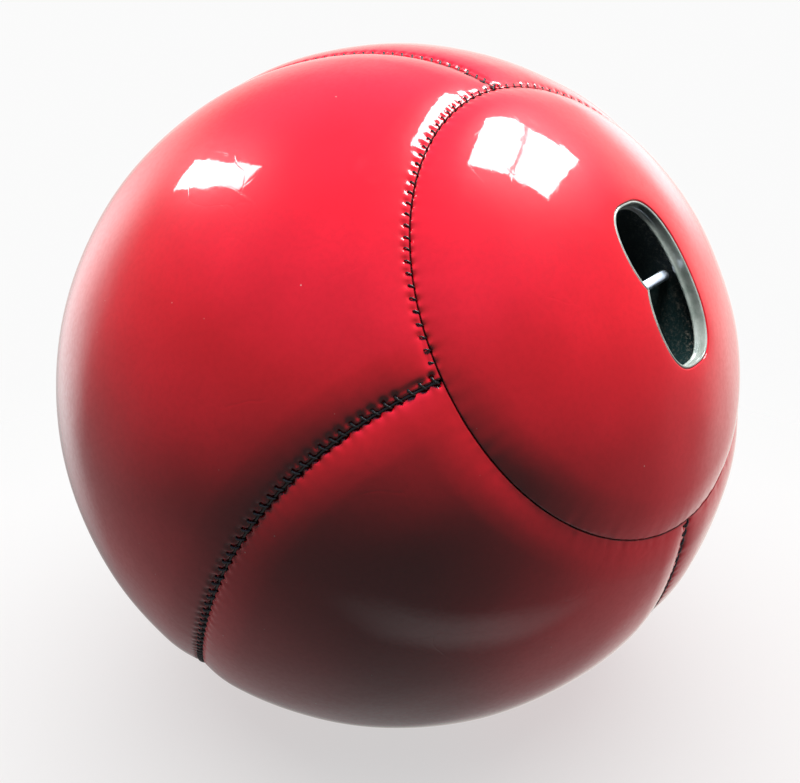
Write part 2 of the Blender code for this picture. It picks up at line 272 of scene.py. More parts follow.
SEAM_ANGLES = np.linspace(DISC_ANGLE, math.pi - DISC_ANGLE, 2001)
SEAM_STEPS = BALL_RADIUS * np.sqrt(1 + seam_slant(SEAM_ANGLES) ** 2) * (SEAM_ANGLES[1] - SEAM_ANGLES[0])
SEAM_RUN = np.concatenate(((0.0,), np.cumsum((SEAM_STEPS[:-1] + SEAM_STEPS[1:]) / 2)))
SIDE_STITCHES = round(SEAM_RUN[-1] / STITCH_PITCH)


def scatter(number, seed):
    """A repeatable uneven value from -1 to 1 for each whole number."""
    wave = np.sin(np.asarray(number) * 12.9898 + seed * 78.233) * 43758.5453
    return 2 * (wave - np.floor(wave)) - 1


def stitch_place(number, seed):
    """Where a stitch sits along its seam: evenly spaced, as a hand-guided machine leaves them."""
    return (number + 0.5 + 0.07 * scatter(number, seed)) * STITCH_PITCH


def stitch_marks(seam, across, along, seed, count, showing=1.0):
    """How far holes and puckers press the cover in, across and along one seam."""
    side = np.sign(across.mean())
    hole = seam.upper if side > 0 else seam.lower
    pressed = np.zeros_like(along)
    near = np.abs(across) < 9 * MM
    nearest = np.clip(np.round((along - hole[1]) / STITCH_PITCH - 0.5), 0, count - 1)
    offset = along - hole[1] - stitch_place(nearest, seed)
    depth = seam.hole_depth * (1 + 0.25 * scatter(nearest, seed + 3))
    sunk = depth * np.exp(-((np.abs(across) - abs(hole[0])) ** 2 + offset**2) / HOLE_REACH**2)
    drawn = seam.pucker * np.exp(-((across / PUCKER_REACH) ** 2))
    drawn = drawn * (0.5 + 0.5 * np.cos(TURN * offset / STITCH_PITCH)) ** 2
    gather = sum(
        np.sin(along / (wavelength * MM) * TURN + scatter(wavelength, seed + side) * 3)
        for wavelength in (6.3, 8.9, 13.7)
    )
    gather = gather / 3 * GATHER_DEPTH * np.exp(-np.abs(across) / GATHER_REACH)
    pressed[near] = ((sunk + drawn) * showing)[near]
    return pressed + gather


def rise(distance):
    """0 at a seam to 1 where the panel has reached its full height."""
    return 1 - (1 - np.clip(distance / PILLOW_REACH, 0, 1)) ** 2


def rolled(distance, roll):
    """How far the rounded edge of a panel lies below its top."""
    short = np.clip(roll - distance, 0, roll)
    return roll - np.sqrt(roll**2 - short**2)


RIPPLES = np.random.default_rng(7)
RIPPLE_WAYS = RIPPLES.normal(size=(14, 3))
RIPPLE_WAYS /= np.linalg.norm(RIPPLE_WAYS, axis=1)[:, None]
RIPPLE_LENGTHS = RIPPLES.uniform(26, 75, 14) * MM
RIPPLE_STARTS = RIPPLES.uniform(0, TURN, 14)


def ripple(points):
    """The slight unevenness of leather over packed filling."""
    total = 0
    for way, length, start in zip(RIPPLE_WAYS, RIPPLE_LENGTHS, RIPPLE_STARTS):
        total = total + np.sin(points @ way / length * TURN + start)
    return total / len(RIPPLE_WAYS) * 2 * RIPPLE_DEPTH


def cover_point(angle, azimuth, distances, pressed):
    """The cover's outer surface, given its distance from each of the panel's seams."""
    full = 1
    edge = 0
    for seam, distance in distances:
        full = full * rise(distance)
        edge = np.maximum(edge, rolled(distance, seam.roll))
    # The distance to the nearest seam, narrowed for each kind of seam, sets where the leather is painted with
    # shade in the seam grooves.
    nearest = np.minimum.reduce(np.broadcast_arrays(*(distance * seam.clean for seam, distance in distances)))
    radius = BALL_RADIUS - PILLOW_DEPTH * (1 - full) - edge - pressed
    flat = on_ball(BALL_RADIUS, angle, azimuth)
    radius = radius + ripple(flat) * np.clip(full, 0, 1) - RIPPLE_DEPTH
    return on_ball(radius, angle, azimuth), nearest


def middle_steps(length):
    """How many even steps a panel's mesh takes between its two bands of close rows."""
    return round((length - 2 * EDGE_ROWS[-1] * MM) / ROW_STEP)


def ring_showing(azimuth):
    """Where the ring's stitches stand in sight: on the panel they were pulled up on last."""
    quarter = np.mod(azimuth - SEAM_PHASE, TURN) / TURN * SIDE_PANELS
    inside = np.clip((quarter - 3) / 0.06, 0, 1)
    return 0.12 + 0.88 * np.where(quarter > 3, np.minimum(inside, 1), np.clip((1 - quarter) / 0.1, 0, 1))


def spread(length, steps):
    """Distances from the first edge, as an array, for a panel of a length that may vary by row."""
    start = np.array(EDGE_ROWS) * MM
    shares = np.linspace(0, 1, steps + 1)[1:-1]
    length = np.asarray(length)[..., None]
    middle = start[-1] + (length - 2 * start[-1]) * shares
    low = np.broadcast_to(start, length.shape[:-1] + start.shape)
    return np.concatenate((low, middle, length - low[..., ::-1]), axis=-1)


SIDE_NAMES = ("top_right", "bottom_right", "bottom_left", "top_left")


def rest_on_flat(points):
    """Points in the hold's frame, pressed up to the flat that the ball rests on."""
    row = to_row(points)
    row[..., 2] = np.maximum(row[..., 2], -REST_HEIGHT)
    return row @ HOLD_AXES.T


def cover_panel(shell, name, material, node):
    panel = shell.piece(name, material)
    return settle(panel, "cover_leather", node)


def side_panel(index, material):
    length = BALL_RADIUS * (math.pi - 2 * DISC_ANGLE) - 2 * RING_SEAM.half_gap
    from_hold_ring = spread(length, middle_steps(length))[:, None]
    angle = DISC_ANGLE + (from_hold_ring + RING_SEAM.half_gap) / BALL_RADIUS
    slant = seam_slant(angle)
    stretch = np.sqrt(1 + slant**2)
    width = BALL_RADIUS * np.sin(angle) * TURN / SIDE_PANELS / stretch - 2 * SIDE_SEAM.half_gap
    steps_across = middle_steps(BALL_RADIUS * math.sin(DISC_ANGLE) * TURN / SIDE_PANELS)
    from_low = spread(width[:, 0], steps_across)
    from_high = width - from_low
    sideways = (from_low + SIDE_SEAM.half_gap) * stretch
    azimuth = seam_azimuth(index, angle) + sideways / (BALL_RADIUS * np.sin(angle))
    from_rear_ring = length - from_hold_ring
    run = np.interp(angle, SEAM_ANGLES, SEAM_RUN)
    low_run = run + sideways * slant / stretch
    high_run = run - (from_high + SIDE_SEAM.half_gap) * slant
    around = (azimuth - SEAM_PHASE) * BALL_RADIUS * math.sin(DISC_ANGLE)
    shape = azimuth.shape
    pressed = stitch_marks(SIDE_SEAM, from_low, low_run, index, SIDE_STITCHES)
    high_seed = (index + 1) % SIDE_PANELS
    pressed = pressed + stitch_marks(SIDE_SEAM, -from_high, high_run, high_seed, SIDE_STITCHES)
    ring_run = np.mod(around, RING_STITCHES * STITCH_PITCH)
    for from_ring, seed, showing in ((from_hold_ring, 10, ring_showing(azimuth)), (from_rear_ring, 11, 1.0)):
        from_ring = np.broadcast_to(from_ring, shape)
        pressed = pressed + stitch_marks(RING_SEAM, from_ring, ring_run, seed, RING_STITCHES, showing)
    distances = (
        (SIDE_SEAM, from_low),
        (SIDE_SEAM, from_high),
        (RING_SEAM, from_hold_ring),
        (RING_SEAM, from_rear_ring),
    )
    surface, nearest = cover_point(angle, azimuth, distances, pressed)
    surface = rest_on_flat(surface)

    shell = Shell()
    outer = shell.add(surface, nearest)
    shell.quads(outer)
    inner_radius = BALL_RADIUS - COVER_THICKNESS
    coarse = (slice(None, None, 9), slice(None, None, 9))
    rows = np.unique(np.append(np.arange(shape[0])[coarse[0]], shape[0] - 1))
    columns = np.unique(np.append(np.arange(shape[1])[coarse[1]], shape[1] - 1))
    inner_azimuth = azimuth[np.ix_(rows, columns)]
    inner = shell.add(on_ball(inner_radius, angle[rows], inner_azimuth), 0.0)
    shell.quads(inner)
    sides = (
        ((slice(None), 0), (slice(None), 0)),
        ((slice(None), -1), (slice(None), -1)),
        ((0, slice(None)), (0, slice(None))),
        ((-1, slice(None)), (-1, slice(None))),
    )
    for outer_side, inner_side in sides:
        shell.zip(outer[outer_side], inner[inner_side])
    return cover_panel(shell, f"cover_panel_{SIDE_NAMES[index]}", material, f"side_panel_{SIDE_NAMES[index]}")


def outline_point(turn, growth):
    """The opening's outline in its own frame, wider all round by growth, for arrays of turns."""
    power = 2 / OPENING_SQUARENESS
    x = (OPENING_HALF_WIDTH + growth) * np.copysign(np.abs(np.cos(turn)) ** power, np.cos(turn))
    y = (OPENING_HALF_LENGTH + growth) * np.copysign(np.abs(np.sin(turn)) ** power, np.sin(turn))
    notch_depth = NOTCH_DEPTH * math.exp(-max(growth, 0.0) / NOTCH_FADE)
    notch = notch_depth * np.exp(-np.abs(y - NOTCH_Y) / NOTCH_REACH)
    return np.where(x < 0, x + notch, x), y


def opening_to_hold(x, y):
    cos = math.cos(OPENING_TURN)
    sin = math.sin(OPENING_TURN)
    return OPENING_CENTRE[0] + x * cos + y * sin, OPENING_CENTRE[1] - x * sin + y * cos


def outline(growth, count):
    """Evenly spaced points of the outline in the hold's frame, from the tip of the notch."""
    x, y = outline_point(np.linspace(0, TURN, 5760, endpoint=False), growth)
    left = np.where(x < 0, np.abs(y - NOTCH_Y), 1.0)
    first = int(np.argmin(left))
    x = np.roll(x, -first)
    y = np.roll(y, -first)
    x = np.append(x, x[0])
    y = np.append(y, y[0])
    run = np.concatenate(((0.0,), np.cumsum(np.hypot(np.diff(x), np.diff(y)))))
    places = np.linspace(0, run[-1], count, endpoint=False)
    return opening_to_hold(np.interp(places, run, x), np.interp(places, run, y))


def outline_reach(azimuth, growth):
    """How far the opening reaches from the hold's axis, seen along it, at each azimuth."""
    x, y = outline_point(np.linspace(0, TURN, 5760, endpoint=False), growth)
    x, y = opening_to_hold(x, y)
    around = np.mod(np.arctan2(x, y), TURN)
    order = np.argsort(around)
    return np.interp(np.mod(azimuth, TURN), around[order], np.hypot(x, y)[order], period=TURN)


RING_SAMPLES = RING_STITCHES * 4


def ring_azimuths(count):
    return SEAM_PHASE + np.linspace(0, TURN, count, endpoint=False)[None, :]


def to_rear(points):
    """From the hold's side to the rear: half a turn about the frame's X."""
    return points * np.array((1.0, -1.0, -1.0))


CUT_ROWS = (0.0, 0.1, 0.25, 0.45, 0.8, 1.3, 2.0, 3.0, 4.5)
LIP_ROLL = 0.4 * MM
LIP_SINK = 0.25 * MM
LIP_REACH = 7 * MM


def hold_disc(material):
    """The round panel with the opening: its mesh runs from the rim in to the opening's edge."""
    azimuth = ring_azimuths(RING_SAMPLES)
    rim = DISC_ANGLE - RING_SEAM.half_gap / BALL_RADIUS
    edge = np.arcsin(outline_reach(azimuth, 0.0) / BALL_RADIUS)
    across = BALL_RADIUS * (rim - edge)
    from_rim = np.array(EDGE_ROWS) * MM
    from_edge = np.array(CUT_ROWS) * MM
    shares = np.linspace(0, 1, 30)[1:-1, None]
    middle = from_rim[-1] + (across - from_rim[-1] - from_edge[-1]) * shares
    distance = np.concatenate(
        (
            np.broadcast_to(from_rim[:, None], (len(from_rim), RING_SAMPLES)),
            middle,
            across - np.broadcast_to(from_edge[::-1, None], (len(from_edge), RING_SAMPLES)),
        )
    )
    angle = rim - distance / BALL_RADIUS
    around = np.broadcast_to((azimuth - SEAM_PHASE) * BALL_RADIUS * math.sin(DISC_ANGLE), distance.shape)
    showing = np.broadcast_to(ring_showing(azimuth), distance.shape)
    pressed = stitch_marks(RING_SEAM, -distance, around, 10, RING_STITCHES, showing)
    to_opening = across - distance
    pressed = pressed + LIP_SINK * (1 - np.clip(to_opening / LIP_REACH, 0, 1)) ** 2
    lip = np.clip(LIP_ROLL - to_opening, 0, LIP_ROLL)
    pressed = pressed + LIP_ROLL - np.sqrt(LIP_ROLL**2 - lip**2)
    surface, nearest = cover_point(angle, azimuth, ((RING_SEAM, distance),), pressed)

    shell = Shell()
    outer = shell.add(surface, nearest)
    shell.quads(outer, around=True)
    inner_radius = BALL_RADIUS - COVER_THICKNESS
    inner_angles = rim + (edge - rim) * np.linspace(0, 1, 6)[:, None]
    inner = shell.add(on_ball(inner_radius, inner_angles, azimuth), 0.0)
    shell.quads(inner, around=True)
    cut_depths = np.array((0.25, 0.6, 0.9))[:, None]
    edge_radius = np.linalg.norm(surface[-1], axis=-1)
    wall = shell.add(
        on_ball(edge_radius + (inner_radius - edge_radius) * cut_depths, edge, azimuth), -1.0
    )
    shell.quads(np.concatenate((outer[-1:], wall, inner[-1:])), around=True)
    shell.quads(np.concatenate((outer[:1], inner[:1])), around=True)
    return cover_panel(shell, "cover_panel_hold", material, "hold_disc_panel")


def rear_disc(material):
    azimuth = ring_azimuths(RING_SAMPLES)
    rim = DISC_ANGLE - RING_SEAM.half_gap / BALL_RADIUS
    stop = 9 * MM
    from_rim = np.array(EDGE_ROWS) * MM
    middle = np.linspace(from_rim[-1], BALL_RADIUS * rim - stop, 62)[1:]
    distance = np.concatenate((from_rim, middle))[:, None]
    angle = rim - distance / BALL_RADIUS
    around = (azimuth - SEAM_PHASE) * BALL_RADIUS * math.sin(DISC_ANGLE)
    shape = (len(distance), RING_SAMPLES)
    ring_run = np.broadcast_to(around, shape)
    pressed = stitch_marks(RING_SEAM, np.broadcast_to(-distance, shape), ring_run, 11, RING_STITCHES)
    surface, nearest = cover_point(math.pi - angle, azimuth, ((RING_SEAM, distance),), pressed)

    shell = Shell()
    outer = shell.add(surface, nearest)
    shell.quads(outer, around=True)
    coarse_azimuth = ring_azimuths(RING_SAMPLES // 12)
    coarse_angle = math.pi - np.linspace(angle[-1, 0], 0, 6)[1:-1, None]
    far = ((RING_SEAM, np.full((1, 1), 30 * MM)),)
    centre, _ = cover_point(coarse_angle, coarse_azimuth, far, np.zeros((1, 1)))
    centre = shell.add(centre, 30 * MM)
    shell.quads(centre, around=True)
    shell.zip(np.append(outer[-1], outer[-1][0]), np.append(centre[0], centre[0][0]))
    tip, _ = cover_point(np.full((1, 1), math.pi), coarse_azimuth[:, :1], far, np.zeros((1, 1)))
    shell.fan(centre[-1], shell.add(tip, 30 * MM)[0, 0])
    inner_radius = BALL_RADIUS - COVER_THICKNESS
    inner_angle = math.pi - np.linspace(rim, 0, 9)[:-1, None]
    inner = shell.add(on_ball(inner_radius, inner_angle, coarse_azimuth), 0.0)
    shell.quads(inner, around=True)
    shell.fan(inner[-1], shell.add(np.array([[0.0, 0.0, -inner_radius]]), 0.0)[0])
    shell.zip(np.append(outer[0], outer[0][0]), np.append(inner[0], inner[0][0]))
    return cover_panel(shell, "cover_panel_rear", material, "rear_disc_panel")


# Stitches

THREAD_SIDES = 8
THREAD_STEPS = np.array((0.0, 0.05, 0.12, 0.22, 0.36, 0.5, 0.64, 0.78, 0.88, 0.95, 1.0))


def stitch_paths(seam, count, seed, sunk=0.0):
    """Across, along and height of each stitch's thread, in rows of one stitch."""
    number = np.arange(count)[:, None]
    centre = stitch_place(number, seed)
    wander = 0.12 * MM * scatter(number, seed + 5)
    across = seam.upper[0] + (seam.lower[0] - seam.upper[0]) * THREAD_STEPS + wander
    along = centre + seam.upper[1] + (seam.lower[1] - seam.upper[1]) * THREAD_STEPS
    along = along + 0.22 * MM * np.sin(math.pi * THREAD_STEPS)
    cover = BALL_RADIUS - PILLOW_DEPTH * (1 - rise(np.abs(across))) - RIPPLE_DEPTH
    dive = 1.1 * MM * (np.exp(-THREAD_STEPS / 0.09) + np.exp(-(1 - THREAD_STEPS) / 0.09))
    return across, along, cover + 0.08 * MM - dive - sunk


def tubes(shell, paths, radius):
    """Adds a twisted strand along each run of points."""
    ahead = np.gradient(paths, axis=1)
    ahead /= np.linalg.norm(ahead, axis=2)[..., None]
    out = paths / np.linalg.norm(paths, axis=2)[..., None]
    side = np.cross(ahead, out)
    side /= np.linalg.norm(side, axis=2)[..., None]
    up = np.cross(side, ahead)
    twist = np.arange(paths.shape[1])[None, :, None, None] * 0.5
    turns = np.linspace(0, TURN, THREAD_SIDES, endpoint=False)[None, None, :, None] + twist
    strand = radius * (1 + 0.10 * np.cos(2 * (turns - twist * 0.4)))
    rings = paths[:, :, None] + strand * (np.cos(turns) * side[:, :, None] + np.sin(turns) * up[:, :, None])
    for run in rings:
        indices = shell.add(run)
        shell.quads(indices, around=True)
        shell.faces.append(indices[0].tolist())
        shell.faces.append(indices[-1][::-1].tolist())


def ring_stitches(name, rear, material, node):
    seed = 11 if rear else 10
    azimuth = SEAM_PHASE + stitch_place(np.arange(RING_STITCHES)[:, None], seed) / (
        BALL_RADIUS * math.sin(DISC_ANGLE)
    )
    sunk = 0.0 if rear else 1.4 * MM * (1 - ring_showing(azimuth))
    across, along, height = stitch_paths(RING_SEAM, RING_STITCHES, seed, sunk)
    angle = DISC_ANGLE + across / BALL_RADIUS
    if rear:
        angle = math.pi - angle
    azimuth = SEAM_PHASE + along / (BALL_RADIUS * math.sin(DISC_ANGLE))
    shell = Shell()
    tubes(shell, on_ball(height, angle, azimuth), RING_SEAM.strand)
    settle(shell.piece(name, material), "thread", node)


def side_stitches(index, material):
    """The stitches of a side seam, over a cord that lies in the groove between the panels."""
    across, along, height = stitch_paths(SIDE_SEAM, SIDE_STITCHES, index)
    angle = np.interp(along, SEAM_RUN, SEAM_ANGLES)
    slant = seam_slant(angle)
    stretch = np.sqrt(1 + slant**2)
    azimuth = seam_azimuth(index, angle) + across / (BALL_RADIUS * np.sin(angle) * stretch)
    angle = angle - across * slant / (BALL_RADIUS * stretch)
    shell = Shell()
    tubes(shell, on_ball(height, angle, azimuth), SIDE_SEAM.strand)
    end = 1.2 * MM / BALL_RADIUS
    angle = np.linspace(DISC_ANGLE + end, math.pi - DISC_ANGLE - end, 420)
    cord = on_ball(BALL_RADIUS - PILLOW_DEPTH - 1.15 * MM, angle, seam_azimuth(index, angle))
    tubes(shell, cord[None], SEAM_CORD_RADIUS)
    name = f"stitches_side_seam_{index + 1}"
    settle(shell.piece(name, material), "thread", f"side_seam_thread_{index + 1}")


# Hold


def swept(name, profile, count, material, close, floor=False):
    """A section carried round the opening: growth, depth under the ball and how far it follows the ball."""
    shell = Shell()
    rings = []
    for growth, depth, follow in profile:
        x, y = outline(growth, count)
        fall = BALL_RADIUS - np.sqrt(BALL_RADIUS**2 - x * x - y * y)
        rings.append(shell.add(np.stack((x, y, BALL_RADIUS - depth - follow * fall), axis=-1), depth))
    if close:
        rings.append(rings[0])
    shell.quads(np.array(rings), around=True)
    if floor:
        for ring, (growth, depth, follow) in ((rings[0], profile[0]), (rings[-1], profile[-1])):
            x, y = opening_to_hold(0.0, NOTCH_Y)
            tip = shell.add(np.array([[x, y, BALL_RADIUS - depth]]), depth)[0]
            shell.fan(ring, tip)
    return shell.piece(name, material, mark_name="depth")


def arc_points(centre, radius, first, last, steps):
    """Growth and depth along an arc, its angles in degrees from growth towards depth."""
    angles = np.radians(np.linspace(first, last, steps + 1))
    return [(centre[0] + radius * math.cos(a), centre[1] + radius * math.sin(a)) for a in angles]


def collar(material):
    """The glossy lip in the opening, with a round bead at its foot and a flange behind the cover."""
    outer = -FIT_GAP
    inner = outer - LIP_THICKNESS
    middle = (outer + inner) / 2
    half = LIP_THICKNESS / 2
    flange_top = COVER_THICKNESS + FACET_GAP
    flange_bottom = flange_top + FLANGE_THICKNESS
    profile = [(outer, flange_top - 0.2 * MM)]
    profile += [(outer, LIP_TOP + 1.6 * MM)]
    profile += arc_points((middle, LIP_TOP + half), half, 0, -180, 8)
    profile += [(inner + 0.12 * MM, LIP_TOP + 1.5 * MM), (inner + 0.16 * MM, LIP_TOP + 2.6 * MM)]
    profile += [(inner + 0.06 * MM, LIP_BOTTOM - 2.6 * BEAD_SIZE)]
    profile += arc_points((inner, LIP_BOTTOM - BEAD_SIZE), BEAD_SIZE, -110, -270, 9)
    profile += [(outer, LIP_BOTTOM), (outer, flange_bottom)]
    edge_radius = FLANGE_THICKNESS / 2
    profile += arc_points((FLANGE_WIDTH - edge_radius, flange_top + edge_radius), edge_radius, 90, -90, 6)
    lip = swept("hold_lip", [(growth, depth, 1.0) for growth, depth in profile], 480, material, close=True)
    return settle(lip, "gloss_moulding", "hold_collar")


def pocket(material):
    """The deep pocket behind the collar, with rounded steps in its wall and a dished floor."""
    flange_top = COVER_THICKNESS + FACET_GAP + FLANGE_THICKNESS + FIT_GAP
    wall_end = BAR_DEPTH + 6 * MM
    inside = [
        (POCKET_FLANGE_WIDTH, flange_top, 1.0),
        (POCKET_UNDERCUT + 0.4 * MM, flange_top, 1.0),
        (POCKET_UNDERCUT, flange_top + 0.4 * MM, 1.0),
        (POCKET_UNDERCUT, flange_top + 4 * MM, 0.8),
        (POCKET_UNDERCUT, wall_end, 0.3),
        (POCKET_UNDERCUT - 0.6 * MM, wall_end + 6 * MM, 0.1),
        (POCKET_UNDERCUT - 1.2 * MM, POCKET_DEPTH - 6 * MM, 0.0),
        (POCKET_UNDERCUT - 2.2 * MM, POCKET_DEPTH - 2.5 * MM, 0.0),
        (POCKET_UNDERCUT - 5 * MM, POCKET_DEPTH - 0.4 * MM, 0.0),
        (POCKET_UNDERCUT - 9 * MM, POCKET_DEPTH, 0.0),
    ]
    outside = [
        (growth + (POCKET_WALL if depth < POCKET_DEPTH - 1 * MM else 0.5 * MM), depth + POCKET_WALL, follow)
        for growth, depth, follow in inside
    ]
    outside[0] = (POCKET_FLANGE_WIDTH, flange_top + POCKET_WALL, 1.0)
    outside[1] = (POCKET_UNDERCUT + POCKET_WALL + 0.4 * MM, flange_top + POCKET_WALL, 1.0)
    profile = inside[::-1] + outside
    cup = swept("hold_cup", profile, 320, material, close=False, floor=True)
    return settle(cup, "pocket_moulding", "hold_pocket")


def turned_along_bar(name, profile, material, sides=48):
    """A turned piece on the cross bar's line from (place along it, radius) pairs, closed at both ends."""
    shell = Shell()
    turns = np.linspace(0, TURN, sides, endpoint=False)
    rings = []
    for place, radius in profile:
        x, y = opening_to_hold(place, NOTCH_Y + radius * np.cos(turns))
        depth = BAR_DEPTH + radius * np.sin(turns)
        rings.append(shell.add(np.stack((x, y, BALL_RADIUS - depth), axis=-1)))
    shell.quads(np.array(rings), around=True)
    if profile[0] == profile[-1]:
        return shell.piece(name, material)
    for ring, (place, radius) in ((rings[0], profile[0]), (rings[-1], profile[-1])):
        x, y = opening_to_hold(place, NOTCH_Y)
        shell.fan(ring, shell.add(np.array([[x, y, BALL_RADIUS - BAR_DEPTH]]))[0])
    return shell.piece(name, material)


def bar_ends():
    """Where the bar's line leaves the pocket's wall on both sides, from the CAD nuts."""
    ends = []
    across = np.array(opening_to_hold(1.0, 0.0)) - np.array(opening_to_hold(0.0, 0.0))
    across = to_row([across[0], across[1], 0.0])
    start = to_row([*opening_to_hold(0.0, NOTCH_Y), BALL_RADIUS - BAR_DEPTH])
    for node in ("bar_push_nut_left", "bar_push_nut_right", "cross_bar"):
        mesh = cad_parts[node].data
        points = np.array([vert.co for vert in mesh.vertices])
        places = (points - start) @ across
        ends.append((places.min(), places.max()))
    return ends


def bar_and_nuts(steel, spring):
    left, right, bar = bar_ends()
    bevel = 0.35 * MM
    profile = [(bar[0], BAR_RADIUS - bevel), (bar[0] + bevel, BAR_RADIUS)]
    middle = np.linspace(bar[0] + 2 * bevel, bar[1] - 2 * bevel, 14)
    profile += [(place, BAR_RADIUS) for place in middle]
    profile += [(bar[1] - bevel, BAR_RADIUS), (bar[1], BAR_RADIUS - bevel)]
    made = [settle(turned_along_bar("hold_bar", profile, steel), "bright_steel", "cross_bar")]
    bore = BAR_RADIUS + FIT_GAP
    for side, (start, end) in (("left", left), ("right", right)):
        if side == "left":
            start, end = end, start
        thick = end - start
        profile = [
            (start, NUT_RADIUS - 0.2 * MM),
            (start + 0.15 * thick, NUT_RADIUS),
            (start + 0.45 * thick, NUT_RADIUS),
            (start + 0.6 * thick, NUT_RADIUS - 0.5 * MM),
            (start + 1.0 * thick, bore + 0.5 * MM),
            (start + 1.0 * thick, bore),
            (start + 0.4 * thick, bore),
            (start, bore),
            (start, NUT_RADIUS - 0.2 * MM),
        ]
        nut = turned_along_bar(f"push_nut_{side}", profile, spring, sides=72)
        made.append(settle(nut, "spring_steel", f"bar_push_nut_{side}"))
    return made


# Fillings

FILLING_AZIMUTHS = np.linspace(0, TURN, 144, endpoint=False)


def turned_shell(name, stretches, material, rear, lumps=0.0, tips=(None, None)):
    """A closed form round the hold's axis from (radius, angle) rows; a row's values may vary round it."""
    points = np.array([on_ball(radius, angle, FILLING_AZIMUTHS) for radius, angle in stretches])
    if lumps:
        size = np.linalg.norm(points, axis=-1)[..., None]
        uneven = sum(
            np.sin(points @ way / (0.4 * length) * TURN + start)
            for way, length, start in zip(RIPPLE_WAYS, RIPPLE_LENGTHS, RIPPLE_STARTS)
        )
        points = points - points / size * (lumps * (0.5 + uneven / 14))[..., None]
    shell = Shell()
    indices = shell.add(points)
    shell.quads(indices, around=True)
    for ring, tip in ((indices[0], tips[0]), (indices[-1], tips[1])):
        if tip is not None:
            shell.fan(ring, shell.add(np.array([[0.0, 0.0, tip]]))[0])
    if rear:
        shell.points = [to_rear(part) for part in shell.points]
    return shell.piece(name, material)


def half_ball(radius, first, rows):
    """Rows of a half ball from an angle to just short of the split between the halves."""
    last = math.pi / 2 - math.asin((SPLIT_HALF_GAP + 0.2 * MM) / radius)
    return [(radius, first + (last - first) * i / (rows - 1)) for i in range(rows)]


def opening_angle(growth, radius):
    """The angle of the opening's outline from the axis at each of the fillings' azimuths."""
    return np.arcsin(outline_reach(FILLING_AZIMUTHS, growth) / radius)


def fillings(canvas, wadding, ballast_cloth, sand):
    bag_inner = BAG_RADIUS - BAG_THICKNESS
    growth = BAG_HOLE_GROWTH + 0.4 * MM
    outside = half_ball(BAG_RADIUS - 0.1 * MM, opening_angle(growth, BAG_RADIUS), 34)
    inside = half_ball(bag_inner + 0.1 * MM, opening_angle(growth, bag_inner), 34)[::-1]
    rows = outside + inside + outside[:1]
    front = turned_shell("inner_bag_hold_side", rows, canvas, rear=False)
    small = 0.02
    rows = half_ball(BAG_RADIUS - 0.1 * MM, small, 34) + half_ball(bag_inner + 0.1 * MM, small, 34)[::-1]
    tips = (BAG_RADIUS - 0.1 * MM, bag_inner + 0.1 * MM)
    back = turned_shell("inner_bag_rear_side", rows, canvas, rear=True, tips=tips)
    for half, node in ((front, "inner_bag_hold_half"), (back, "inner_bag_rear_half")):
        settle(half, "inner_canvas", node)

    outer = bag_inner - FIT_GAP - 0.1 * MM
    ballast_outer = BALLAST_RADIUS + BALLAST_BAG_THICKNESS + FIT_GAP
    inner = ballast_outer + FIT_GAP + 0.1 * MM
    growth = RECESS_GROWTH + 0.4 * MM
    floor = BALL_RADIUS - RECESS_DEPTH - 0.4 * MM
    reach = outline_reach(FILLING_AZIMUTHS, growth)
    recess = []
    for share in (0.1, 0.4, 0.7, 0.9, 1.0):
        recess.append((np.hypot(floor, reach * share), np.arctan2(reach * share, floor)))
    top = np.sqrt(outer**2 - reach**2)
    for share in (0.1, 0.3, 0.5, 0.7, 0.9):
        height = floor + (top - floor) * share
        recess.append((np.hypot(height, reach), np.arctan2(reach, height)))
    rows = recess + half_ball(outer, np.arcsin(reach / outer), 30) + half_ball(inner, small, 16)[::-1]
    front = turned_shell("wadding_hold_side", rows, wadding, rear=False, tips=(floor, inner))
    rows = half_ball(outer, small, 36) + half_ball(inner, small, 16)[::-1]
    back = turned_shell("wadding_rear_side", rows, wadding, rear=True, tips=(outer, inner))
    for half, node in ((front, "wadding_hold_half"), (back, "wadding_rear_half")):
        settle(half, "wadding", node)

    bag_in = BALLAST_RADIUS + FIT_GAP + 0.05 * MM
    bag_out = ballast_outer - 0.05 * MM
    rows = half_ball(bag_out, small, 26) + half_ball(bag_in, small, 26)[::-1]
    for name, rear, node in (
        ("ballast_bag_hold_side", False, "ballast_bag_hold_half"),
        ("ballast_bag_rear_side", True, "ballast_bag_rear_half"),
    ):
        half = turned_shell(name, rows, ballast_cloth, rear=rear, tips=(bag_out, bag_in))
        settle(half, "ballast_canvas", node)

    rows = [(BALLAST_RADIUS, math.pi * i / 60) for i in range(1, 60)]
    tips = (BALLAST_RADIUS, -BALLAST_RADIUS)
    heap = turned_shell("sand_filling", rows, sand, rear=False, lumps=1.2 * MM, tips=tips)
    settle(heap, "sand", "ballast_sand")


# Materials


